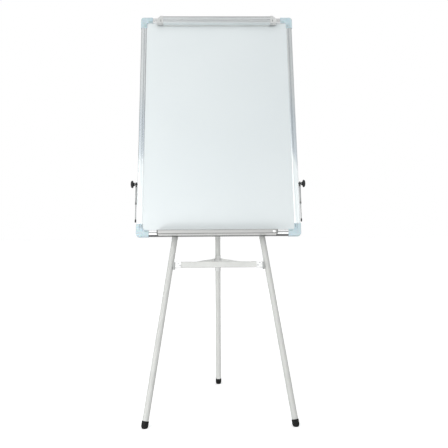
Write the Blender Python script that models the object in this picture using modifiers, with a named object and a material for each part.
# Flipchart easel: a 600 x 900 mm whiteboard on a folding three-legged stand,
# with a sprung pad clamp, a pen tray and two folding side arms.
# Metres, +Z up, -Y is the front of the board, +X is to the right of a person
# who faces the board.  The origin is on the floor, under the middle of the
# stand's bounding box.
#
# Most parts hang from the lean frame.  Its origin is on the floor between the
# front feet, its XZ plane holds both front legs, and its z runs up that plane.

import bpy
import bmesh
from math import sin, cos, tan, atan, atan2, sqrt, pi, radians
from mathutils import Matrix, Vector

for old in list(bpy.data.objects):
    bpy.data.objects.remove(old, do_unlink=True)

# ------------------------------------------------------- shared dimensions
LEAN = radians(14.0)          # the front-leg plane leans back by this much
FEET_TO_MIDDLE = 0.29097      # front feet to the middle of the bounding box
GAP = 0.0003                  # clearance between neighbouring parts
SIDES = (("left", -1), ("right", 1))

BOARD_W = 0.600
BOARD_H = 0.895
HALF_W = BOARD_W / 2
BOARD_BOTTOM = 0.667
BOARD_TOP = BOARD_BOTTOM + BOARD_H
FRAME_FRONT = -0.0500         # y of the board frame's faces
FRAME_BACK = -0.0330
FRAME_WALL = 0.0015
SLOT_FRONT = FRAME_FRONT + FRAME_WALL   # the slot that holds the panel
SLOT_BACK = -0.0347
ON_FRAME = FRAME_FRONT - GAP  # y of the back of parts mounted on the frame
PANEL_INSET = 0.003           # panel edge, in from the frame's outside

TUBE_R = 0.0110
TUBE_WALL = 0.0010
BORE_R = 0.0113               # bore of everything that grips a leg tube
LEG_FOOT_X = 0.262            # half spread of the front feet
LEG_SLOPE = 0.1485            # inward slope of the front legs
LEG_ANGLE = atan(LEG_SLOPE)
LEG_TOP = 1.470
PIN_Y, PIN_Z = 0.045, 1.440   # rear leg hinge pin, in the lean frame
PIN_HOLE_R = 0.0041
REAR_FOOT_Y = 0.581           # rear foot behind the front feet

BAR_Z = 0.5695                # height of the spreader bar's middle
STRUT_PIVOT_Y = 0.018
STRUT_HOLE_R = 0.0026


def upright(y, z):
    """Level depth behind the front feet and true height of a lean-frame point."""
    return z * sin(LEAN) + y * cos(LEAN), z * cos(LEAN) - y * sin(LEAN)


PIN_DEPTH, PIN_HEIGHT = upright(PIN_Y, PIN_Z)
STRUT_DEPTH, STRUT_HEIGHT = upright(STRUT_PIVOT_Y, BAR_Z)
REAR_TILT = atan((REAR_FOOT_Y - PIN_DEPTH) / PIN_HEIGHT)
REAR_LENGTH = PIN_HEIGHT / cos(REAR_TILT)
DROP = PIN_HEIGHT - STRUT_HEIGHT
STRUT_REACH = PIN_DEPTH + DROP * tan(REAR_TILT) - STRUT_DEPTH   # pivot to rear leg axis
RUNNER_DROP = DROP / cos(REAR_TILT)     # strut pivot's distance down the rear leg

# --------------------------------------------------------------- materials
HELPER = None                 # finish of hidden cutters and joined pieces
FINISHES = {
    "lacquer": dict(color=(0.80, 0.84, 0.85), roughness=0.18, metallic=0.0),
    "core": dict(color=(0.62, 0.55, 0.44), roughness=0.80, metallic=0.0),
    "zinc_sheet": dict(color=(0.60, 0.61, 0.62), roughness=0.45, metallic=0.9),
    "aluminium": dict(color=(0.66, 0.67, 0.68), roughness=0.38, metallic=0.9),
    "cap_grey": dict(color=(0.55, 0.60, 0.64), roughness=0.42, metallic=0.0),
    "clear_grey": dict(color=(0.66, 0.68, 0.69), roughness=0.30, metallic=0.0),
    "leg_paint": dict(color=(0.60, 0.60, 0.57), roughness=0.35, metallic=0.5),
    "rubber": dict(color=(0.02, 0.02, 0.02), roughness=0.75, metallic=0.0),
    "black_plastic": dict(color=(0.03, 0.03, 0.03), roughness=0.45, metallic=0.0),
    "light_plastic": dict(color=(0.62, 0.62, 0.60), roughness=0.45, metallic=0.0),
    "steel": dict(color=(0.70, 0.70, 0.70), roughness=0.28, metallic=1.0),
}


def material(name, color, roughness, metallic):
    mat = bpy.data.materials.new(name)
    mat.use_nodes = True
    shader = mat.node_tree.nodes["Principled BSDF"]
    shader.inputs["Base Color"].default_value = (*color, 1)
    shader.inputs["Roughness"].default_value = roughness
    shader.inputs["Metallic"].default_value = metallic
    return mat


# ----------------------------------------------------------------- helpers
PARTS = bpy.data.collections.new("flipchart_easel")
CUTS = bpy.data.collections.new("flipchart_easel_cutters")
for collection in (PARTS, CUTS):
    bpy.context.scene.collection.children.link(collection)

SHARP_ANGLE = radians(30)     # edges steeper than this stay sharp


def empty(name, parent, location, tilt_x=0.0, tilt_y=0.0):
    ob = bpy.data.objects.new(name, None)
    ob.empty_display_size = 0.02
    PARTS.objects.link(ob)
    ob.parent = parent
    ob.location = location
    ob.rotation_euler = (tilt_x, tilt_y, 0)
    return ob


def add_object(name, mesh, finish, parent):
    ob = bpy.data.objects.new(name, mesh)
    if finish is HELPER:
        CUTS.objects.link(ob)
        ob.hide_render = True
        ob.display_type = 'WIRE'
    else:
        PARTS.objects.link(ob)
        mesh.materials.append(material("mat_" + name, **FINISHES[finish]))
        mesh.shade_smooth()
        mesh.set_sharp_from_angle(angle=SHARP_ANGLE)
    ob.parent = parent
    return ob


def temporary(name, data):
    ob = bpy.data.objects.new(name + "_tmp", data)
    bpy.context.scene.collection.objects.link(ob)
    return ob


def solid_from(temp, name, matrix=Matrix.Identity(4)):
    """Turn a temporary object into a welded mesh that faces outward."""
    bpy.context.view_layer.update()
    depsgraph = bpy.context.evaluated_depsgraph_get()
    mesh = bpy.data.meshes.new_from_object(temp.evaluated_get(depsgraph))
    bm = bmesh.new()
    bm.from_mesh(mesh)
    bmesh.ops.remove_doubles(bm, verts=bm.verts, dist=2e-6)
    bm.transform(matrix)
    bmesh.ops.recalc_face_normals(bm, faces=bm.faces)
    if bm.calc_volume(signed=True) < 0:
        bmesh.ops.reverse_faces(bm, faces=bm.faces)
    bm.to_mesh(mesh)
    bm.free()
    source = temp.data
    bpy.data.objects.remove(temp, do_unlink=True)
    if isinstance(source, bpy.types.Curve):
        bpy.data.curves.remove(source)
    else:
        bpy.data.meshes.remove(source)
    # leave no slot ahead of the one add_object appends
    mesh.materials.clear()
    mesh.name = name
    return mesh


def arc(u, v, radius, segments, start, stop):
    """Points from start to stop, in degrees, both ends included."""
    first, last = radians(start), radians(stop)
    angles = [first + (last - first) * i / segments for i in range(segments + 1)]
    return [(u + radius * cos(a), v + radius * sin(a)) for a in angles]


def circle(u, v, radius, segments=16):
    return arc(u, v, radius, segments, 0, 360)[:-1]


def mirrored(side, points):
    return [(side * x, other) for x, other in points]


def fill_spline(curve, points):
    spline = curve.splines.new('POLY')
    spline.points.add(len(points) - 1)
    for i, point in enumerate(points):
        spline.points[i].co = (*point, 1)
    return spline


# how a flat outline (u, v) and its thickness w sit on the three axes
PRISM_AXES = {
    # u=Y v=Z w=X
    'X': Matrix(((0, 0, 1, 0), (1, 0, 0, 0), (0, 1, 0, 0), (0, 0, 0, 1))),
    # u=X v=Z w=-Y
    'Y': Matrix(((1, 0, 0, 0), (0, 0, -1, 0), (0, 1, 0, 0), (0, 0, 0, 1))),
    # u=X v=Y w=Z
    'Z': Matrix.Identity(4),
}


def prism(name, outline, start, stop, axis, finish, parent, holes=()):
    """A flat outline, with holes, given a thickness from start to stop along an axis."""
    curve = bpy.data.curves.new(name + "_outline", 'CURVE')
    curve.dimensions = '2D'
    curve.fill_mode = 'BOTH'
    curve.extrude = abs(stop - start) / 2
    for loop in (outline, *holes):
        spline = fill_spline(curve, [(u, v, 0) for u, v in loop])
        spline.use_cyclic_u = True
    middle = (start + stop) / 2
    if axis == 'Y':
        middle = -middle
    matrix = PRISM_AXES[axis] @ Matrix.Translation((0, 0, middle))
    return add_object(name, solid_from(temporary(name, curve), name, matrix), finish, parent)


# turns a profile's height, drawn along +Z, to the direction named
TURNED_AXES = {
    '+X': Matrix.Rotation(pi / 2, 4, 'Y'),
    '-X': Matrix.Rotation(-pi / 2, 4, 'Y'),
    '+Y': Matrix.Rotation(-pi / 2, 4, 'X'),
    '-Y': Matrix.Rotation(pi / 2, 4, 'X'),
    '+Z': Matrix.Identity(4),
}


def turned(name, profile, axis, finish, parent, at=(0, 0, 0), steps=20, loop=False):
    """A profile of (radius, height) points turned about an axis through a point."""
    mesh = bpy.data.meshes.new(name + "_profile")
    bm = bmesh.new()
    verts = [bm.verts.new((radius, 0, height)) for radius, height in profile]
    for pair in zip(verts, verts[1:]):
        bm.edges.new(pair)
    if loop:
        bm.edges.new((verts[-1], verts[0]))
    bm.to_mesh(mesh)
    bm.free()
    temp = temporary(name, mesh)
    screw = temp.modifiers.new("turn", 'SCREW')
    screw.axis = 'Z'
    screw.angle = 2 * pi
    screw.steps = screw.render_steps = steps
    screw.use_merge_vertices = True
    screw.merge_threshold = 0.00001
    matrix = Matrix.Translation(at) @ TURNED_AXES[axis]
    return add_object(name, solid_from(temp, name, matrix), finish, parent)


def outward(side):
    return '+X' if side > 0 else '-X'


def block(name, corner, opposite, finish, parent):
    """A box between two opposite corners, given in any order."""
    corner, opposite = Vector(corner), Vector(opposite)
    size = [abs(length) for length in opposite - corner]
    bm = bmesh.new()
    bmesh.ops.create_cube(bm, size=1.0)
    bm.transform(Matrix.Translation((corner + opposite) / 2) @ Matrix.Diagonal((*size, 1)))
    mesh = bpy.data.meshes.new(name)
    bm.to_mesh(mesh)
    bm.free()
    return add_object(name, mesh, finish, parent)


def rod(name, radius, start, end, finish, parent, segments=16):
    start, end = Vector(start), Vector(end)
    along = end - start
    bm = bmesh.new()
    bmesh.ops.create_cone(bm, cap_ends=True, segments=segments, radius1=radius,
                          radius2=radius, depth=along.length)
    turn = along.to_track_quat('Z', 'Y').to_matrix().to_4x4()
    bm.transform(Matrix.Translation((start + end) / 2) @ turn)
    mesh = bpy.data.meshes.new(name)
    bm.to_mesh(mesh)
    bm.free()
    return add_object(name, mesh, finish, parent)


def boolean(ob, tool, operation):
    mod = ob.modifiers.new(operation.lower(), 'BOOLEAN')
    mod.operation = operation
    mod.solver = 'EXACT'
    mod.object = tool


def cut(ob, tool):
    boolean(ob, tool, 'DIFFERENCE')


def join(ob, tool):
    boolean(ob, tool, 'UNION')


def leg_point(z, side):
    """A point on a front leg's axis, in the lean frame."""
    return Vector((side * (LEG_FOOT_X - LEG_SLOPE * z), 0, z))


def cut_leg_bore(ob, name, z_low, z_high, side, parent):
    cut(ob, rod(name, BORE_R, leg_point(z_low, side), leg_point(z_high, side),
                HELPER, parent, 20))


# ------------------------------------------------------------- board panel
# key, y of the front, y of the back, finish
PANEL_LAYERS = (
    ("face_sheet", -0.0482, -0.0478, "lacquer"),
    ("core", -0.0475, -0.0356, "core"),
    ("back_sheet", -0.0353, -0.0350, "zinc_sheet"),
)


def build_panel(lean):
    x = HALF_W - PANEL_INSET
    bottom, top = BOARD_BOTTOM + PANEL_INSET, BOARD_TOP - PANEL_INSET
    return {key: block("board_" + key, (-x, front, bottom), (x, back, top), finish, lean)
            for key, front, back, finish in PANEL_LAYERS}


# ------------------------------------------------------------- board frame
FACE_W = 0.022                # width of the frame's front face
BACK_W = 0.012
EDGE_R = 0.0045               # rounded outer front edge
CAP_LEG = 0.045               # length of each leg of a corner cap's L
FRAME_END = CAP_LEG + GAP
ARM_Y, ARM_Z = -0.0415, 0.867           # knob axis of the side arms

# (distance in from the outside edge, y)
FRAME_PROFILE = [(EDGE_R - EDGE_R * cos(radians(a)), FRAME_FRONT + EDGE_R - EDGE_R * sin(radians(a)))
                 for a in (0, 22, 45, 67, 90)] + [
    # groove in the front face
    (0.0130, FRAME_FRONT), (0.0134, FRAME_FRONT + 0.0007),
    (0.0146, FRAME_FRONT + 0.0007), (0.0150, FRAME_FRONT),
    # front lip, panel slot and back lip
    (0.0195, FRAME_FRONT), (FACE_W, FRAME_FRONT + 0.0010), (FACE_W, SLOT_FRONT),
    (0.0026, SLOT_FRONT), (FRAME_WALL, SLOT_FRONT + 0.0011), (FRAME_WALL, SLOT_BACK),
    (BACK_W, SLOT_BACK), (BACK_W, FRAME_BACK), (0.0012, FRAME_BACK),
    (0.0, FRAME_BACK - 0.0012),
]


def frame_rail(lean, level, edge, up):
    x = HALF_W - FRAME_END
    outline = [(y, edge - up * inset) for inset, y in FRAME_PROFILE]
    return prism("frame_" + level, outline, -x, x, 'X', "aluminium", lean)


def frame_side(lean, name, side):
    outline = [(side * (HALF_W - inset), y) for inset, y in FRAME_PROFILE]
    ob = prism("frame_" + name, outline, BOARD_BOTTOM + FRAME_END, BOARD_TOP - FRAME_END,
               'Z', "aluminium", lean)
    cut(ob, rod("cut_arm_stud_" + name, 0.0033, (side * 0.290, ARM_Y, ARM_Z),
                (side * 0.310, ARM_Y, ARM_Z), HELPER, lean))


# ------------------------------------------------------------- corner caps
CAP_ARM_W = 0.023
CAP_R = 0.012
CAP_PROUD = 0.0015            # how far a cap stands out of the frame
CAP_FRONT = FRAME_FRONT - CAP_PROUD
CAP_SLOT_REACH = 0.09

# an L with a rounded outer corner: (in from the side edge, in from the top or bottom edge)
CAP_OUTLINE = [
    (-CAP_PROUD, CAP_LEG),
    *arc(CAP_R - CAP_PROUD, CAP_R - CAP_PROUD, CAP_R, 6, 180, 270),
    (CAP_LEG, -CAP_PROUD), (CAP_LEG, CAP_ARM_W), (CAP_ARM_W + 0.003, CAP_ARM_W),
    (CAP_ARM_W, CAP_ARM_W + 0.003), (CAP_ARM_W, CAP_LEG),
]
# a groove beside the side edge and a shallow pocket in each arm:
# range in from the side edge, range in from the top or bottom edge
CAP_RECESSES = (
    (0.0105, 0.0122, 0.0190, 0.0440),
    (0.0150, 0.0200, 0.0290, 0.0420),
    (0.0290, 0.0420, 0.0150, 0.0200),
)


def corner_cap(lean, level, edge, up, side_name, side):
    def at(inset_x, y, inset_z):
        return side * (HALF_W - inset_x), y, edge - up * inset_z

    tag = "%s_%s" % (level, side_name)
    outline = [(side * (HALF_W - a), edge - up * b) for a, b in CAP_OUTLINE]
    cap = prism("corner_cap_" + tag, outline, CAP_FRONT, FRAME_BACK + CAP_PROUD,
                'Y', "cap_grey", lean)
    inset = PANEL_INSET - GAP
    cut(cap, block("cut_cap_slot_" + tag, at(inset, SLOT_FRONT, inset),
                   at(CAP_SLOT_REACH, SLOT_BACK, CAP_SLOT_REACH), HELPER, lean))
    for i, (x0, x1, z0, z1) in enumerate(CAP_RECESSES):
        cut(cap, block("cut_cap_face_%s_%d" % (tag, i), at(x0, FRAME_FRONT - 0.005, z0),
                       at(x1, CAP_FRONT + 0.0008, z1), HELPER, lean))


# ---------------------------------------------------------------- pen tray
TRAY_HALF = 0.2135
TRAY_X = -0.0055              # the tray sits a little left of the middle
TRAY_BOTTOM = BOARD_BOTTOM + 0.0002
TRAY_BACK_TOP = BOARD_BOTTOM + 0.019
TRAY_FRONT = ON_FRAME - 0.0350
TRAY_LIP = 0.0148             # height of the front lip
TRAY_WALL = 0.0016
TRAY_END_PROUD = 0.0003
TRAY_SCREW_X, TRAY_SCREW_Z = 0.150, BOARD_BOTTOM + 0.0125

# (y, z)
TRAY_PROFILE = [
    (ON_FRAME, TRAY_BACK_TOP), (ON_FRAME, TRAY_BOTTOM), (TRAY_FRONT + 0.0015, TRAY_BOTTOM),
    (TRAY_FRONT, TRAY_BOTTOM + 0.0015), (TRAY_FRONT, TRAY_BOTTOM + TRAY_LIP),
    (TRAY_FRONT + TRAY_WALL, TRAY_BOTTOM + TRAY_LIP),
    (TRAY_FRONT + TRAY_WALL, TRAY_BOTTOM + 0.0022),
    (TRAY_FRONT + 0.0022, TRAY_BOTTOM + TRAY_WALL),
    (ON_FRAME - TRAY_WALL, TRAY_BOTTOM + TRAY_WALL), (ON_FRAME - TRAY_WALL, TRAY_BACK_TOP),
]
TRAY_END = [
    (ON_FRAME, TRAY_BOTTOM), (TRAY_FRONT + 0.0015, TRAY_BOTTOM),
    (TRAY_FRONT - TRAY_END_PROUD, TRAY_BOTTOM + 0.0018),
    (TRAY_FRONT - TRAY_END_PROUD, TRAY_BOTTOM + TRAY_LIP + 0.0004),
    (ON_FRAME - 0.026, TRAY_BOTTOM + TRAY_LIP + 0.0010),
    (ON_FRAME - 0.012, BOARD_BOTTOM + 0.0195), (ON_FRAME, BOARD_BOTTOM + 0.0195),
]
# (radius, height above the underside of the head)
TRAY_SCREW = [(0, 0.0024), (0.0022, 0.0021), (0.0032, 0.0012), (0.0034, 0),
              (0.0016, 0), (0.0016, -0.0033), (0, -0.0036)]


def build_tray(lean, frame_bottom):
    tray = prism("pen_tray", TRAY_PROFILE, TRAY_X - TRAY_HALF, TRAY_X + TRAY_HALF,
                 'X', "aluminium", lean)
    for name, side in SIDES:
        prism("pen_tray_end_" + name, TRAY_END, TRAY_X + side * (TRAY_HALF + GAP),
              TRAY_X + side * (TRAY_HALF + 0.0042), 'X', "light_plastic", lean)
        x, z = side * TRAY_SCREW_X, TRAY_SCREW_Z
        turned("pen_tray_screw_" + name, TRAY_SCREW, '-Y', "steel", lean,
               at=(x, ON_FRAME - TRAY_WALL - GAP, z), steps=12)
        hole = rod("cut_tray_screw_" + name, 0.0019, (x, -0.060, z), (x, -0.0479, z),
                   HELPER, lean, 12)
        cut(tray, hole)
        cut(frame_bottom, hole)


# --------------------------------------------------------------- pad clamp
CLAMP_Y, CLAMP_Z = -0.0600, 1.5500      # hinge rod, in the lean frame
RAIL_HALF = 0.2150
RAIL_FRONT = ON_FRAME - 0.0020
RAIL_BOTTOM, RAIL_TOP = 1.5310, 1.5545
KNUCKLE_XS = (-0.160, 0.0, 0.160)
KNUCKLE_HALF = 0.006
BAR_FRONT = -0.0750           # y of the clamp bar's front face
CLAMP_BAR_HALF = 0.2122
BEND_Y, BEND_Z = -0.0680, 1.5490        # centre of the bar's rounded top front edge

# clamp bar section (y, z), from the top back edge round the outside and back inside
CLAMP_BAR = [
    (-0.0555, 1.5560),
    *[(BEND_Y - 0.0070 * sin(radians(a)), BEND_Z + 0.0070 * cos(radians(a)))
      for a in (0, 22.5, 45, 67.5, 90)],
    # three grooves across the front
    *[(BAR_FRONT + depth, z + dz) for z in (1.5400, 1.5360, 1.5320)
      for depth, dz in ((0, 0.0008), (0.0007, 0.0005), (0.0007, -0.0005), (0, -0.0008))],
    (BAR_FRONT, 1.5267), (BAR_FRONT + 0.0007, 1.5260), (-0.0535, 1.5260),
    (-0.0535, 1.5277), (BAR_FRONT + 0.0018, 1.5277),
    *[(BEND_Y - 0.0052 * sin(radians(a)), BEND_Z + 0.0055 * cos(radians(a)))
      for a in (90, 60, 30, 0)],
    (-0.0555, 1.5545),
]
# strip under the bar's back edge (y, z)
GRIP_STRIP = [(-0.0532, 1.5255), (-0.0490, 1.5261), (-0.0485, 1.5268),
              (-0.0485, 1.5290), (-0.0490, 1.5297), (-0.0532, 1.5297)]
# end shell, seen from the front (x, z)
END_OUTSIDE = [(0.2125, 1.5252), (0.2340, 1.5252), (0.2362, 1.5262), (0.2370, 1.5285),
               (0.2370, 1.5400), (0.2362, 1.5422), (0.2240, 1.5552), (0.2222, 1.5562),
               (0.2205, 1.5565), (0.2125, 1.5565)]
END_INSIDE = [(0.2150, 1.5276), (0.2330, 1.5276), (0.2344, 1.5286), (0.2346, 1.5300),
              (0.2346, 1.5392), (0.2338, 1.5408), (0.2225, 1.5532), (0.2210, 1.5541),
              (0.2150, 1.5541)]
END_TRIANGLE = [(0.2180, 1.5305), (0.2235, 1.5305), (0.2213, 1.5425)]


def clamp_rail(lean):
    outline = [(RAIL_FRONT, RAIL_BOTTOM), (ON_FRAME, RAIL_BOTTOM),
               (ON_FRAME, RAIL_TOP), (RAIL_FRONT, RAIL_TOP)]
    rail = prism("clamp_rail", outline, -RAIL_HALF, RAIL_HALF, 'X', "aluminium", lean)
    tab = [(-0.0515, 1.5455), (-0.0515, 1.5503), *arc(CLAMP_Y, CLAMP_Z, 0.0036, 12, 60, 290)]
    for i, x in enumerate(KNUCKLE_XS):
        join(rail, prism("join_clamp_knuckle_%d" % i, tab, x - KNUCKLE_HALF, x + KNUCKLE_HALF,
                         'X', HELPER, lean, holes=[circle(CLAMP_Y, CLAMP_Z, 0.0020, 12)]))


def clamp_end(clamp, name, side):
    """Moulded shell with a chamfered nose, open at the back."""
    def piece(prefix, outline, front, back, finish):
        points = [(side * x, z - CLAMP_Z) for x, z in outline]
        return prism(prefix + name, points, front - CLAMP_Y, back - CLAMP_Y, 'Y', finish, clamp)

    shell = piece("clamp_end_", END_OUTSIDE, BAR_FRONT - 0.0004, -0.0560, "clear_grey")
    cut(shell, piece("cut_clamp_end_", END_INSIDE, BAR_FRONT + 0.0018, -0.0500, HELPER))
    cut(shell, rod("cut_clamp_rod_" + name, 0.0019, (side * 0.205, 0, 0),
                   (side * 0.2175, 0, 0), HELPER, clamp, 12))
    cut(shell, piece("cut_clamp_mark_", END_TRIANGLE, BAR_FRONT - 0.0020,
                     BAR_FRONT + 0.0008, HELPER))


def clamp_jaw(clamp):
    """The parts that swing on the hinge rod."""
    def from_rod(points):
        return [(y - CLAMP_Y, z - CLAMP_Z) for y, z in points]

    prism("clamp_bar", from_rod(CLAMP_BAR), -CLAMP_BAR_HALF, CLAMP_BAR_HALF,
          'X', "aluminium", clamp)
    for name, side in SIDES:
        clamp_end(clamp, name, side)
    prism("clamp_grip_strip", from_rod(GRIP_STRIP), -0.2100, 0.2100, 'X', "light_plastic", clamp)
    rod("clamp_hinge_rod", 0.0018, (-0.2195, 0, 0), (0.2195, 0, 0), "steel", clamp, 12)


SPRING_X = 0.080              # inner end of the coil
SPRING_R = 0.0031
SPRING_PITCH = 0.0013
SPRING_TURNS = 5.5
POINTS_PER_TURN = 8
SPRING_LEG_Y = -0.0725        # y of the leg that rests on the bar


def clamp_spring(lean, name, side):
    """Torsion spring round the hinge rod: one leg on the rail, one on the bar."""
    curve = bpy.data.curves.new("spring_" + name, 'CURVE')
    curve.dimensions = '3D'
    curve.bevel_depth = 0.0005
    curve.bevel_resolution = 1
    curve.use_fill_caps = True
    points = [(side * SPRING_X, -0.0532, CLAMP_Z - 0.0165)]
    start = atan2(-0.0004, 0.0031)
    for i in range(int(SPRING_TURNS * POINTS_PER_TURN) + 1):
        angle = start + 2 * pi * i / POINTS_PER_TURN
        points.append((side * (SPRING_X + SPRING_PITCH * i / POINTS_PER_TURN),
                       CLAMP_Y + SPRING_R * cos(angle), CLAMP_Z + SPRING_R * sin(angle)))
    x_end = side * (SPRING_X + SPRING_PITCH * SPRING_TURNS)
    points.append((x_end, SPRING_LEG_Y, CLAMP_Z - 0.0130))
    points.append((x_end, SPRING_LEG_Y, CLAMP_Z - 0.0172))
    fill_spline(curve, points)
    mesh = solid_from(temporary("spring", curve), "clamp_spring_" + name)
    add_object("clamp_spring_" + name, mesh, "steel", lean)


# --------------------------------------------------------------- side arms
ARM_X = 0.3052                # centre plane of the arm
TUBE_END = -0.077

# (radius, z below the knob axis)
ARM_NECK = [(0, -0.0060), (0.0021, -0.0060), (0.0030, -0.0076), (0.0032, -0.0085),
            (0.0032, -0.0112), (0.0029, -0.0116), (0.0020, -0.0116), (0.0020, -0.0092),
            (0, -0.0092)]
ARM_TUBE = [(0.0026, -0.0119), (0.00275, -0.0124), (0.00275, TUBE_END),
            (0.0020, TUBE_END), (0.0020, -0.0119)]
ARM_ROD = [(0, -0.0130), (0.0017, -0.0130), (0.0017, -0.1360), (0.0026, -0.1368),
           (0.0027, -0.1450), (0.0018, -0.147), (0, -0.147)]
# (radius, distance outward from the arm's centre plane)
ARM_KNOB = [(0, 0.0205), (0.0070, 0.0200), (0.0118, 0.0185), (0.0138, 0.0163),
            (0.0140, 0.0140), (0.0132, 0.0120), (0.0100, 0.0108), (0.0068, 0.0098),
            (0.0060, 0.0060), (0.0065, 0.0037), (0.0030, 0.0037), (0.0030, -0.0074),
            (0, -0.0076)]


def side_arm(lean, name, side):
    pivot = empty("arm_%s_pivot" % name, lean, (side * ARM_X, ARM_Y, ARM_Z))
    eye = prism("arm_%s_eye" % name, circle(0, 0, 0.0075, 20), -0.0022, 0.0022, 'X',
                "black_plastic", pivot, holes=[circle(0, 0, 0.0033)])
    join(eye, turned("join_arm_neck_" + name, ARM_NECK, '+Z', HELPER, pivot, steps=12))
    # the tube butts against the eye's neck
    turned("arm_%s_tube" % name, ARM_TUBE, '+Z', "aluminium", pivot, steps=12, loop=True)
    turned("arm_%s_rod" % name, ARM_ROD, '+Z', "steel", pivot, steps=12)
    # the knob's stud runs through the eye into the frame's side wall
    turned("arm_%s_knob" % name, ARM_KNOB, outward(side), "black_plastic", pivot)


# ----------------------------------------------------------- legs and feet
FOOT_R = 0.0125
FOOT_H = 0.0245
FOOT_SEAT = 0.0095            # height of the foot's inner floor
SLEEVE_SEAT = -0.0305         # inner end of the rear knuckle's sleeve

# (radius, height up the leg)
FOOT_PROFILE = [(0, -0.0040), (0.0050, -0.0034), (0.0085, -0.0010), (0.0108, 0.0026),
                (0.0121, 0.0066), (FOOT_R, 0.0105), (FOOT_R, FOOT_H - 0.0025),
                (FOOT_R - 0.0008, FOOT_H), (BORE_R, FOOT_H), (BORE_R, FOOT_SEAT),
                (0, FOOT_SEAT)]


def leg_with_foot(prefix, suffix, bottom, tube_top, axis_frame, floor):
    """A leg tube and its rubber foot, trimmed flat at the floor."""
    prism(prefix + "_leg" + suffix, circle(0, 0, TUBE_R, 20), bottom + FOOT_SEAT + GAP, tube_top,
          'Z', "leg_paint", axis_frame, holes=[circle(0, 0, TUBE_R - TUBE_WALL, 20)])
    foot = turned(prefix + "_foot" + suffix, FOOT_PROFILE, '+Z', "rubber", axis_frame,
                  at=(0, 0, bottom))
    cut(foot, floor)


def build_legs(lean, rear):
    floor = block("cut_floor", (-1, -1.5, -0.2), (1, 1.5, 0.0), HELPER, None)
    for name, side in SIDES:
        axis_frame = empty("front_leg_%s_axis" % name, lean, (side * LEG_FOOT_X, 0, 0),
                           tilt_y=-side * LEG_ANGLE)
        leg_with_foot("front", "_" + name, 0, LEG_TOP / cos(LEG_ANGLE) - GAP, axis_frame, floor)
    leg_with_foot("rear", "", -REAR_LENGTH, SLEEVE_SEAT - GAP, rear, floor)


# -------------------------------------------------------------- stand head
HUB_HALF_T = 0.016
BRACKET_FRONT = SLOT_BACK + 0.0030      # back of the bracket's flanges
BRACKET_BACK = -HUB_HALF_T - GAP

# (x, z)
HUB_OUTLINE = [(-0.0750, 1.405), (0.0750, 1.405), (0.0740, 1.430), (0.0620, 1.484),
               (0.0560, 1.490), (-0.0560, 1.490), (-0.0620, 1.484), (-0.0740, 1.430)]
# (y, z)
EAR_OUTLINE = [(0.0150, 1.420), (0.0400, 1.4285), *arc(PIN_Y, PIN_Z, 0.012, 12, -90, 90),
               (0.0400, 1.4515), (0.0150, 1.460)]
# (x, y)
BRACKET_OUTLINE = [(-0.085, SLOT_BACK), (0.085, SLOT_BACK), (0.085, BRACKET_FRONT),
                   (0.0600, BRACKET_FRONT), (0.0520, BRACKET_BACK), (-0.0520, BRACKET_BACK),
                   (-0.0600, BRACKET_FRONT), (-0.085, BRACKET_FRONT)]
BRACKET_HOLE = [(-0.0490, -0.0193), (-0.0562, BRACKET_FRONT), (0.0562, BRACKET_FRONT),
                (0.0490, -0.0193)]
# (radius, z below the hinge pin)
KNUCKLE_SLEEVE = [(0, -0.0240), (0.0120, -0.0240), (0.0138, -0.0260), (0.0138, -0.0620),
                  (BORE_R, -0.0620), (BORE_R, SLEEVE_SEAT), (0, SLEEVE_SEAT)]
# (radius, x)
HINGE_PIN = [(0, 0.0130), (0.0050, 0.0127), (0.0065, 0.0115), (0.0065, 0.0108),
             (0.0040, 0.0108), (0.0040, -0.0108), (0.0065, -0.0108), (0.0065, -0.0115),
             (0.0050, -0.0127), (0, -0.0130)]


def tripod_hub(lean):
    hub = prism("tripod_hub", HUB_OUTLINE, -HUB_HALF_T, HUB_HALF_T, 'Y', "black_plastic", lean)
    for name, side in SIDES:
        join(hub, prism("join_hub_ear_" + name, EAR_OUTLINE, side * 0.0065, side * 0.0105,
                        'X', HELPER, lean, holes=[circle(PIN_Y, PIN_Z, PIN_HOLE_R)]))
        cut_leg_bore(hub, "cut_hub_bore_" + name, 1.38, LEG_TOP, side, lean)


def hub_bracket(lean):
    """Hat-shaped bracket between the hub and the back of the board."""
    prism("hub_bracket", BRACKET_OUTLINE, 1.4250, 1.4750, 'Z', "zinc_sheet", lean,
          holes=[BRACKET_HOLE])


def rear_hinge(lean, rear):
    outline = arc(0, 0, 0.0115, 14, 0, 180) + [(-0.0115, -0.0260), (0.0115, -0.0260)]
    knuckle = prism("rear_leg_knuckle", outline, -0.0060, 0.0060, 'X', "black_plastic", rear,
                    holes=[circle(0, 0, PIN_HOLE_R)])
    join(knuckle, turned("join_knuckle_sleeve", KNUCKLE_SLEEVE, '+Z', HELPER, rear))
    turned("rear_hinge_pin", HINGE_PIN, '+X', "steel", lean, at=(0, PIN_Y, PIN_Z), steps=16)


# ------------------------------------------------------------- board clips
CLIP_BOTTOM, CLIP_TOP = 0.716, 0.748
CLIP_Z = (CLIP_BOTTOM + CLIP_TOP) / 2
# (x from the leg axis, y)
CLIP_OUTLINE = [(-0.034, SLOT_BACK), (0.034, SLOT_BACK), (0.034, -0.0317), (0.0175, -0.0317),
                (0.0175, 0.0020), (0.0150, 0.0045), (-0.0150, 0.0045), (-0.0175, 0.0020),
                (-0.0175, -0.0317), (-0.034, -0.0317)]
# (radius, height above the underside of the head)
CLIP_SCREW = [(0, 0.0026), (0.0026, 0.0022), (0.0038, 0.0010), (0.0039, 0), (0.0019, 0),
              (0.0019, -0.0115), (0, -0.0130)]


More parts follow.
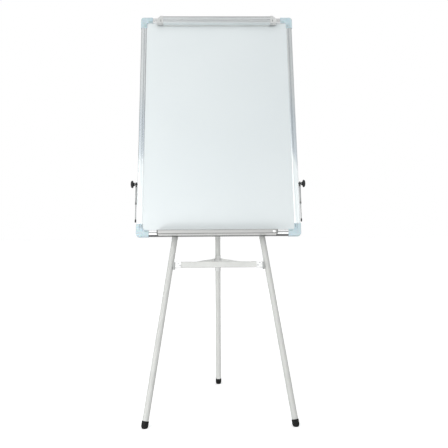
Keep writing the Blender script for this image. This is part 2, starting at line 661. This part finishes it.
def board_clip(lean, panel, name, side):
    """Holds the lower part of the board to a front leg."""
    leg_x = leg_point(CLIP_Z, side).x
    clip = prism("board_clip_" + name, [(leg_x + x, y) for x, y in CLIP_OUTLINE],
                 CLIP_BOTTOM, CLIP_TOP, 'Z', "black_plastic", lean)
    cut_leg_bore(clip, "cut_clip_bore_" + name, 0.68, 0.79, side, lean)
    x = leg_x - side * 0.0255
    turned("board_clip_screw_" + name, CLIP_SCREW, '+Y', "steel", lean,
           at=(x, -0.0314, CLIP_Z), steps=12)
    hole = rod("cut_clip_screw_" + name, 0.0022, (x, -0.0468, CLIP_Z), (x, -0.020, CLIP_Z),
               HELPER, lean, 12)
    for ob in (clip, panel["back_sheet"], panel["core"]):
        cut(ob, hole)


# ---------------------------------------------------------------- spreader
BAR_HALF_L = 0.138
BAR_HALF_T = 0.010 / 2
BAR_BOTTOM, BAR_TOP = BAR_Z - 0.022 / 2, BAR_Z + 0.022 / 2
BAR_WALL = 0.0012
PLUG_INSET = BAR_WALL + GAP   # socket plug, in from the bar's outside
PLUG_END = 0.1285
SOCKET_START, SOCKET_END = BAR_HALF_L + GAP, 0.1607
SOCKET_BOTTOM, SOCKET_TOP = BAR_BOTTOM - 0.0008, BAR_TOP + 0.0008
SOCKET_HALF_T = 0.0075
# (x, z)
SOCKET_OUTLINE = [(SOCKET_START, SOCKET_BOTTOM), (SOCKET_END, SOCKET_BOTTOM),
                  (SOCKET_END, SOCKET_TOP), (SOCKET_START, SOCKET_TOP),
                  (SOCKET_START, BAR_TOP - PLUG_INSET), (PLUG_END, BAR_TOP - PLUG_INSET),
                  (PLUG_END, BAR_BOTTOM + PLUG_INSET), (SOCKET_START, BAR_BOTTOM + PLUG_INSET)]
# hinge lug (y, z)
LUG_OUTLINE = [(BAR_HALF_T - 0.0006, BAR_Z - 0.0085),
               *arc(STRUT_PIVOT_Y, BAR_Z, 0.0080, 10, -80, 80),
               (BAR_HALF_T - 0.0006, BAR_Z + 0.0085)]
# (radius, height above the underside of the head)
SPREADER_SCREW = [(0, 0.0018), (0.0020, 0.0015), (0.0028, 0.0007), (0.0028, 0), (0.0015, 0),
                  (0.0015, -0.0100), (0, -0.0108)]


def spreader_bar(lean):
    def rectangle(inset):
        y, bottom, top = BAR_HALF_T - inset, BAR_BOTTOM + inset, BAR_TOP - inset
        return [(-y, bottom), (y, bottom), (y, top), (-y, top)]

    bar = prism("spreader_bar", rectangle(0), -BAR_HALF_L, BAR_HALF_L, 'X', "aluminium", lean,
                holes=[rectangle(BAR_WALL)])
    # hinge lugs for the struts, welded on the back of the bar
    for name, side in SIDES:
        join(bar, prism("join_bar_lug_" + name, LUG_OUTLINE, side * 0.1232, side * 0.1262,
                        'X', HELPER, lean,
                        holes=[circle(STRUT_PIVOT_Y, BAR_Z, STRUT_HOLE_R, 12)]))


def spreader_end(lean, name, side):
    """Plug-in socket at the end of the bar, and the saddle against the leg."""
    socket = prism("spreader_socket_" + name, mirrored(side, SOCKET_OUTLINE),
                   -BAR_HALF_T + PLUG_INSET, BAR_HALF_T - PLUG_INSET, 'Y', "light_plastic", lean)
    join(socket, block("join_socket_body_" + name,
                       (side * SOCKET_START, -SOCKET_HALF_T, SOCKET_BOTTOM),
                       (side * SOCKET_END, SOCKET_HALF_T, SOCKET_TOP), HELPER, lean))
    x, z = side * 0.1500, BAR_Z + 0.0040
    cut(socket, rod("cut_socket_screw_" + name, 0.0018, (x, -0.020, z), (x, 0.0040, z),
                    HELPER, lean, 12))
    turned("spreader_screw_" + name, SPREADER_SCREW, '-Y', "steel", lean,
           at=(x, -SOCKET_HALF_T - GAP, z), steps=12)
    saddle = block("spreader_saddle_" + name, (side * 0.1610, -0.0090, BAR_BOTTOM - 0.0055),
                   (side * 0.1690, 0.0090, BAR_TOP - 0.0025), "black_plastic", lean)
    cut_leg_bore(saddle, "cut_saddle_bore_" + name, 0.50, 0.64, side, lean)


# ------------------------------------------------------- struts and runner
FRONT_TAB_X, REAR_TAB_X = 0.1280, 0.0187          # middle of the strut's end tabs
STRUT_HALF_T = 0.003 / 2
STRUT_HALF_H = 0.014 / 2
STRUT_TAB = 0.013             # pivot to bend
STRUT_OVERHANG = 0.0075       # strut beyond each pivot
# (radius, distance outward from the tab's middle)
RIVET_HEAD = [(0, 0.0034), (0.0028, 0.0031), (0.0045, 0.0018), (0.0025, 0.0018)]
# end, y of the pivot, x of the tab, tail of the rivet
STRUT_ENDS = (
    ("front", 0.0, FRONT_TAB_X, [(0.0025, -0.0066), (0, -0.0068)]),
    ("rear", STRUT_REACH, REAR_TAB_X, [(0.0025, -0.0017), (0, -0.0017)]),
)


def strut_outline():
    """Right-hand strut seen from above (x, y), bent at both ends."""
    half = STRUT_HALF_T
    run_x, run_y = FRONT_TAB_X - REAR_TAB_X, STRUT_REACH - 2 * STRUT_TAB
    # mitre offset of the bent corners
    miter = half * (sqrt(run_x * run_x + run_y * run_y) - run_y) / run_x
    stations = [(FRONT_TAB_X, -STRUT_OVERHANG, 0), (FRONT_TAB_X, STRUT_TAB, miter),
                (REAR_TAB_X, STRUT_REACH - STRUT_TAB, miter),
                (REAR_TAB_X, STRUT_REACH + STRUT_OVERHANG, 0)]
    outer = [(x + half, y + shift) for x, y, shift in stations]
    inner = [(x - half, y - shift) for x, y, shift in stations]
    return outer + inner[::-1]


def build_strut(lean, name, side):
    """Flat bar on edge, level at rest."""
    pivot = empty("strut_%s_pivot" % name, lean, (0, STRUT_PIVOT_Y, BAR_Z), tilt_x=LEAN)
    strut = prism("strut_" + name, mirrored(side, strut_outline()), -STRUT_HALF_H,
                  STRUT_HALF_H, 'Z', "leg_paint", pivot)
    for end, y, x, tail in STRUT_ENDS:
        cut(strut, rod("cut_strut_%s_%s" % (end, name), STRUT_HOLE_R, (side * (x - 0.006), y, 0),
                       (side * (x + 0.006), y, 0), HELPER, pivot, 12))
        turned("strut_rivet_%s_%s" % (end, name), RIVET_HEAD + tail, outward(side),
               "steel", pivot, at=(side * x, y, 0), steps=12)


RUNNER_R = 0.0127
RUNNER_TOP, RUNNER_BOTTOM = 0.0200, -0.0450       # from the strut pivot
RUNNER_PROFILE = [(RUNNER_R, RUNNER_TOP), (RUNNER_R, RUNNER_BOTTOM),
                  (BORE_R, RUNNER_BOTTOM), (BORE_R, RUNNER_TOP)]


def build_runner(rear):
    """A collar that slides on the rear leg, with a flat boss for each strut."""
    z = -RUNNER_DROP
    sleeve = turned("runner_sleeve", RUNNER_PROFILE, '+Z', "black_plastic", rear,
                    at=(0, 0, z), loop=True)
    join(sleeve, rod("join_runner_boss", 0.0080, (-0.0164, 0, z), (0.0164, 0, z), HELPER, rear))
    cut(sleeve, rod("cut_runner_bore", BORE_R, (0, 0, z - 0.08), (0, 0, z + 0.08),
                    HELPER, rear, 20))


# ---------------------------------------------------------------- assembly
def build_board(lean):
    """Panel, frame, caps, tray, clamp and arms; returns the panel layers."""
    panel = build_panel(lean)
    frame_rail(lean, "top", BOARD_TOP, 1)
    frame_bottom = frame_rail(lean, "bottom", BOARD_BOTTOM, -1)
    for name, side in SIDES:
        frame_side(lean, name, side)
        corner_cap(lean, "top", BOARD_TOP, 1, name, side)
        corner_cap(lean, "bottom", BOARD_BOTTOM, -1, name, side)
    build_tray(lean, frame_bottom)
    clamp_rail(lean)
    clamp_jaw(empty("clamp_pivot", lean, (0, CLAMP_Y, CLAMP_Z)))
    for name, side in SIDES:
        clamp_spring(lean, name, side)
        side_arm(lean, name, side)
    return panel


def build_stand(lean, panel):
    rear = empty("rear_leg_pivot", lean, (0, PIN_Y, PIN_Z), tilt_x=LEAN + REAR_TILT)
    build_legs(lean, rear)
    tripod_hub(lean)
    hub_bracket(lean)
    rear_hinge(lean, rear)
    spreader_bar(lean)
    for name, side in SIDES:
        board_clip(lean, panel, name, side)
        spreader_end(lean, name, side)
        build_strut(lean, name, side)
    build_runner(rear)


lean_frame = empty("lean_frame", None, (0, -FEET_TO_MIDDLE, 0), tilt_x=-LEAN)
build_stand(lean_frame, build_board(lean_frame))
bpy.context.view_layer.update()
